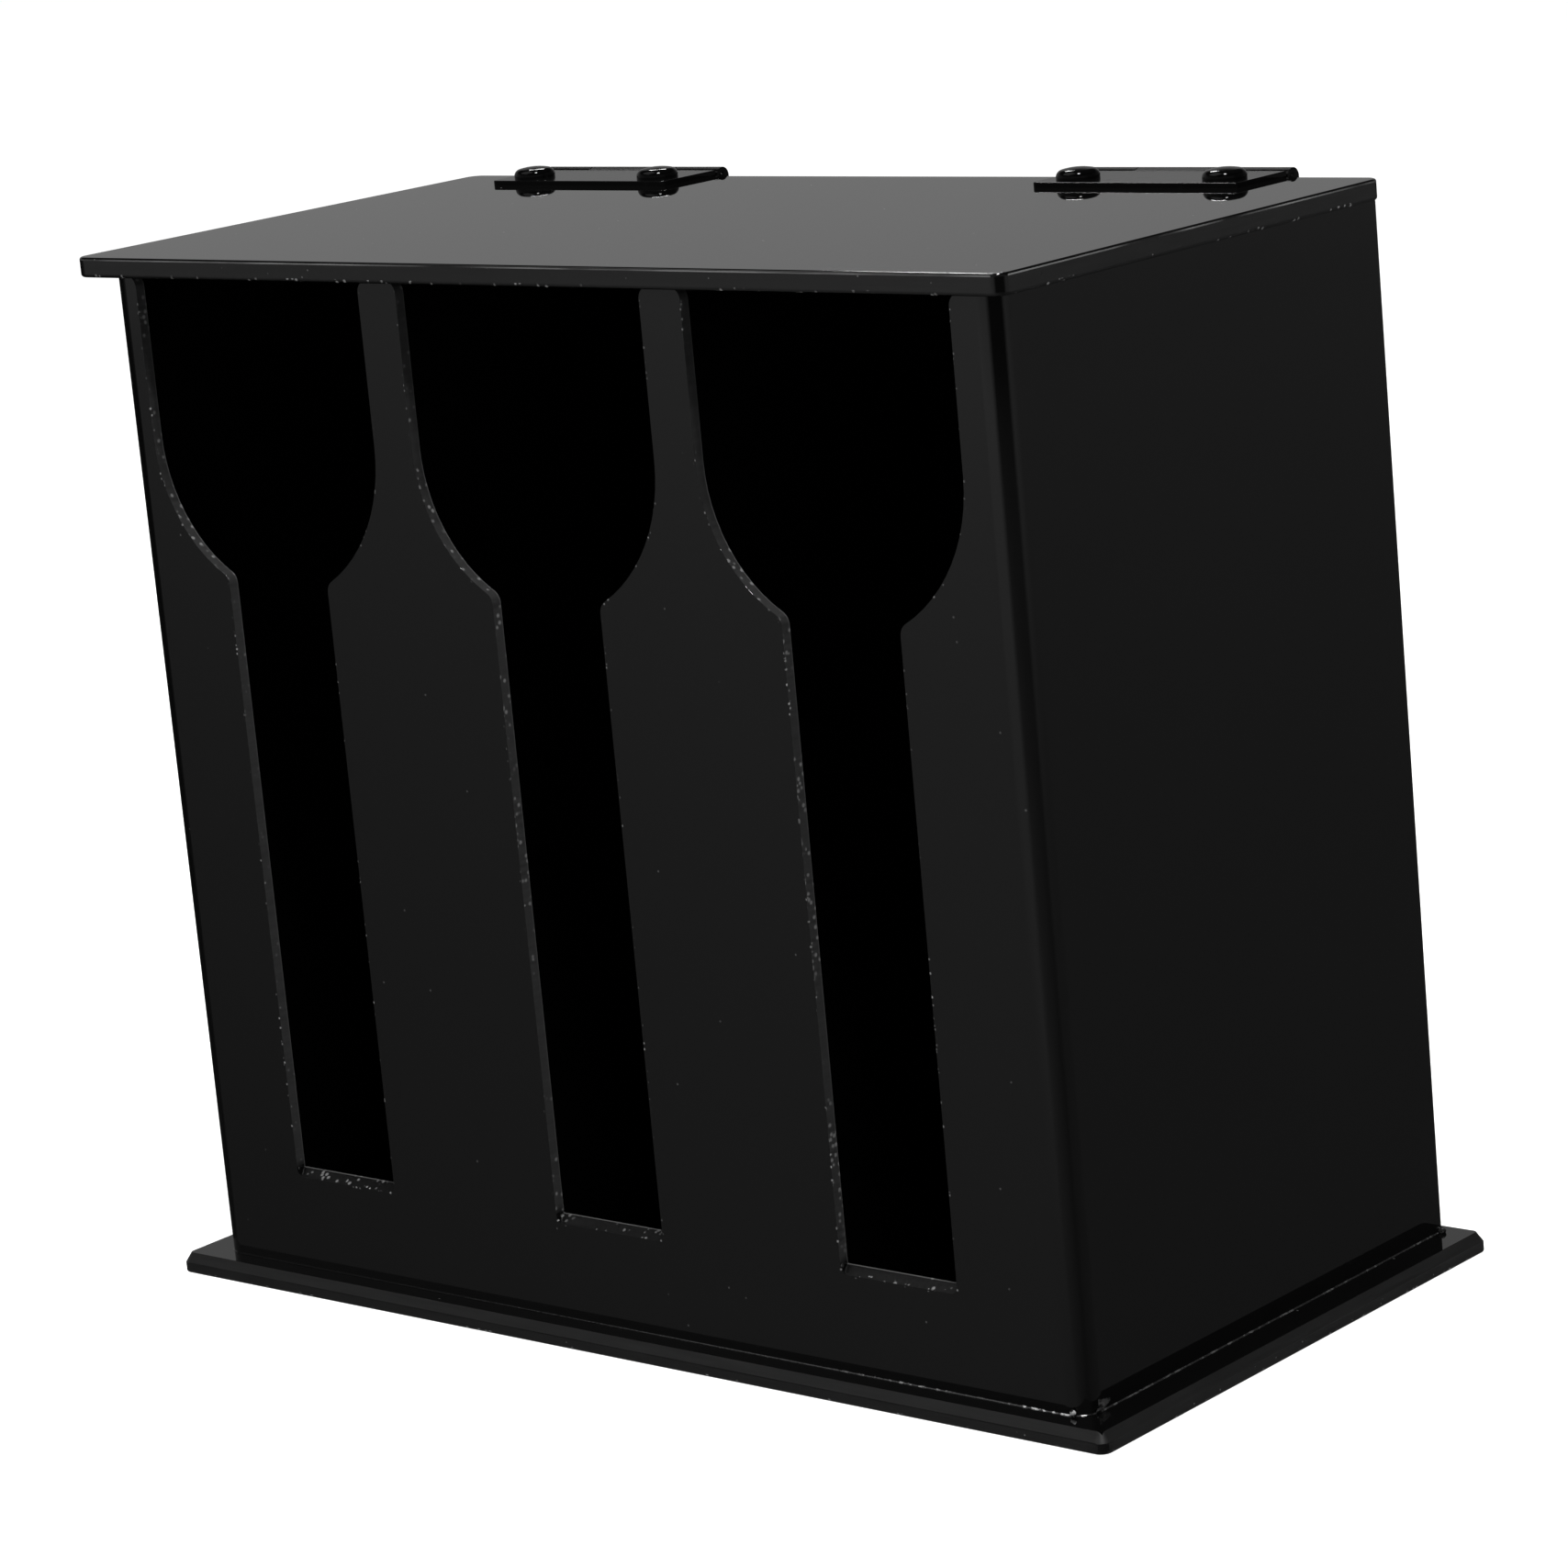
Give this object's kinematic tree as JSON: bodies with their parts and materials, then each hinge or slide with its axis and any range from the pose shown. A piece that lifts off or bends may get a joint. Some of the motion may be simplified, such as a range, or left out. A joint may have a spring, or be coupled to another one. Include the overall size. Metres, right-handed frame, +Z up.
{
  "type": "cutlery organizer",
  "caption": "Upright countertop cutlery holder of black gloss acrylic: tall box with spoon-shaped front slots, inner dividers, a hinged flat lid and a wider base plate.",
  "frame": {"origin": "centre of the base plate's underside, on the surface it stands on", "axes": "+X to the right as seen from the slotted front, +Y to the hinged back, +Z up"},
  "size_m": [0.3144, 0.1656, 0.2828],
  "materials": {
    "acrylic": "gloss",
    "hinge_metal": "gloss black",
    "bolt_metal": "gloss black"
  },
  "bodies": {
    "case": {"base_plate": "acrylic", "front_and_sides": "acrylic", "back_panel": "acrylic", "left_divider": "acrylic", "right_divider": "acrylic", "left_hinge_back_leaf": "hinge_metal", "left_hinge_pin": "hinge_metal", "right_hinge_back_leaf": "hinge_metal", "right_hinge_pin": "hinge_metal", "left_back_bolts": "bolt_metal", "left_back_nuts": "bolt_metal", "right_back_bolts": "bolt_metal", "right_back_nuts": "bolt_metal"},
    "lid": {"lid": "acrylic", "left_hinge_lid_leaf": "hinge_metal", "left_lid_bolts": "bolt_metal", "left_lid_nuts": "bolt_metal", "right_hinge_lid_leaf": "hinge_metal", "right_lid_bolts": "bolt_metal", "right_lid_nuts": "bolt_metal"}
  },
  "joints": [
    {"name": "lid_hinge", "type": "hinge", "parent": "case", "child": "lid", "pos_m": [0, 0.0757, 0.2779], "axis": [-1, 0, 0], "range_deg": [0, 180]}
  ]
}
